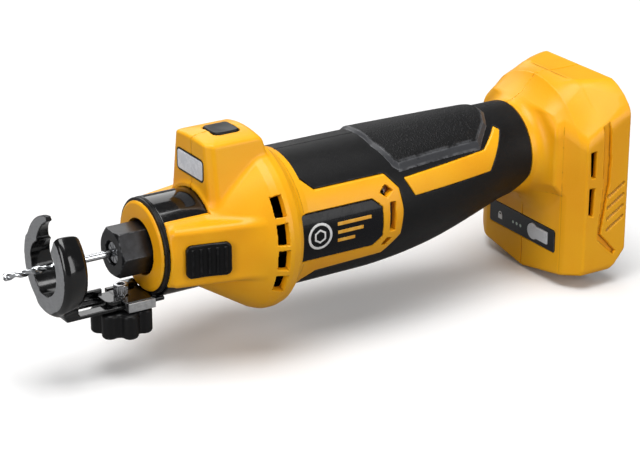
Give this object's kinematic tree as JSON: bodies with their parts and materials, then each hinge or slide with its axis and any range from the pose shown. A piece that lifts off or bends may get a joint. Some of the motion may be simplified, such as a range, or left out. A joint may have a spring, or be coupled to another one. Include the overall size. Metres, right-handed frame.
{
  "type": "trim router",
  "caption": "Cordless trim router and cut-out tool: straight gripped motor body, slide-on battery foot, collet with spiral bit, sliding open-ring depth guide and lamp tower.",
  "frame": {"origin": "point on the spindle axis in the plane of the depth guide's contact face, with the guide at its middle setting", "axes": "+X along the spindle from the bit towards the battery foot, +Z towards the lamp tower, -Y the side with the slide switch"},
  "size_m": [0.282, 0.076, 0.0957],
  "materials": {
    "yellow_housing": "satin moulded, fine texture",
    "soft_grip": "matte over-moulded, fine grain",
    "grained_pad": "matte, leather-like grain",
    "gloss_black": "gloss",
    "seal_rubber": "semi-gloss",
    "black_plastic": "satin moulded",
    "knob_plastic": "matte moulded",
    "lamp_lens": "frosted white",
    "white_board": "solder-masked board",
    "green_board": "solder-masked board",
    "capacitor_sleeve": "shrink sleeve",
    "wire_red": "wire insulation",
    "bright_steel": "polished",
    "machined_steel": "turned and ground",
    "blackened_steel": "black oxide",
    "guide_paint": "gloss black coating, worn grey face",
    "zinc_plate": "zinc plated",
    "cast_aluminium": "as cast",
    "laminated_steel": "laminated",
    "magnet": "nickel plated",
    "copper_winding": "enamelled wire",
    "terminal_brass": "stamped",
    "panel_plastic": "satin label film",
    "light_pipe": "clear",
    "silver_button": "silver satin"
  },
  "bodies": {
    "housing": {"housing_left": "yellow_housing", "housing_right": "yellow_housing", "grip_cover_left": "soft_grip", "grip_cover_right": "soft_grip", "grip_pad": "grained_pad", "grip_inlay_left": "yellow_housing", "grip_inlay_right": "yellow_housing", "badge_left": "gloss_black", "badge_right": "gloss_black", "nose_bezel": "yellow_housing", "seal_ring": "seal_rubber", "nose_collar": "gloss_black", "rear_bearing_plate": "cast_aluminium", "lamp_lens": "lamp_lens", "lamp_board": "white_board", "switch_body": "black_plastic", "lock_spring": "bright_steel", "front_bearing_outer": "bright_steel", "rear_bearing_outer": "bright_steel", "stator_core": "laminated_steel", "stator_windings": "copper_winding", "controller_board": "green_board", "board_capacitor": "capacitor_sleeve", "power_leads": "wire_red", "battery_rails": "black_plastic", "terminal_block": "black_plastic", "terminal_blades": "terminal_brass", "indicator_panel": "panel_plastic", "indicator_lights": "light_pipe", "guide_bracket": "blackened_steel", "bracket_screws": "bright_steel", "clamp_bolt": "bright_steel", "housing_screws": "blackened_steel"},
    "spindle_rotor": {"spindle": "machined_steel", "rotor_core": "laminated_steel", "rotor_magnets": "magnet", "cooling_fan": "black_plastic", "front_bearing_inner": "bright_steel", "rear_bearing_inner": "bright_steel"},
    "front_cage": {"front_bearing_balls": "bright_steel"},
    "rear_cage": {"rear_bearing_balls": "bright_steel"},
    "collet_body": {"collet": "machined_steel"},
    "nut": {"collet_nut": "blackened_steel"},
    "bit": {"cutting_bit": "bright_steel"},
    "lock": {"lock_button": "black_plastic", "lock_pin": "bright_steel"},
    "switch_slider": {"slide_switch": "black_plastic"},
    "guide": {"depth_guide": "guide_paint"},
    "saddle": {"clamp_saddle": "zinc_plate"},
    "knob": {"clamp_knob": "knob_plastic"},
    "panel_key": {"panel_button": "silver_button"}
  },
  "joints": [
    {"name": "spindle_spin", "type": "hinge", "parent": "housing", "child": "spindle_rotor", "pos_m": [0.081, 0, 0], "axis": [1, 0, 0], "continuous": true},
    {"name": "front_cage_spin", "type": "hinge", "parent": "housing", "child": "front_cage", "pos_m": [0.066, 0, 0], "axis": [1, 0, 0], "continuous": true},
    {"name": "rear_cage_spin", "type": "hinge", "parent": "housing", "child": "rear_cage", "pos_m": [0.1488, 0, 0], "axis": [1, 0, 0], "continuous": true},
    {"name": "collet_release", "type": "slide", "parent": "spindle_rotor", "child": "collet_body", "axis": [-1, 0, 0], "range_m": [0, 0.0015]},
    {"name": "nut_turn", "type": "hinge", "parent": "collet_body", "child": "nut", "pos_m": [0.04, 0, 0], "axis": [-1, 0, 0], "range_deg": [0, 360]},
    {"name": "bit_slide", "type": "slide", "parent": "collet_body", "child": "bit", "axis": [-1, 0, 0], "range_m": [0, 0.012]},
    {"name": "lock_press", "type": "slide", "parent": "housing", "child": "lock", "axis": [0, 0, -1], "range_m": [0, 0.003], "stiffness_N_per_m": 400, "deforming": ["lock_spring"]},
    {"name": "switch_slide", "type": "slide", "parent": "housing", "child": "switch_slider", "axis": [-0.9699, 0.2436, 0], "range_m": [0, 0.0035]},
    {"name": "guide_slide", "type": "slide", "parent": "housing", "child": "guide", "axis": [-1, 0, 0], "range_m": [-0.008, 0.008]},
    {"name": "saddle_drop", "type": "slide", "parent": "housing", "child": "saddle", "axis": [0, 0, -1], "range_m": [0, 0.0008]},
    {"name": "knob_turn", "type": "hinge", "parent": "saddle", "child": "knob", "pos_m": [0.0338, 0, -0.03], "axis": [0, 0, -1], "range_deg": [0, 360]},
    {"name": "panel_press", "type": "slide", "parent": "housing", "child": "panel_key", "axis": [1, 0, 0], "range_m": [0, 0.0006], "stiffness_N_per_m": 300}
  ],
  "couplings": [
    {"joint": "front_cage_spin", "follows": "spindle_spin", "ratio": 0.368},
    {"joint": "rear_cage_spin", "follows": "spindle_spin", "ratio": 0.368},
    {"joint": "collet_release", "follows": "nut_turn", "m_per_rad": 0.00023873},
    {"joint": "saddle_drop", "follows": "knob_turn", "m_per_rad": 0.00012732}
  ]
}
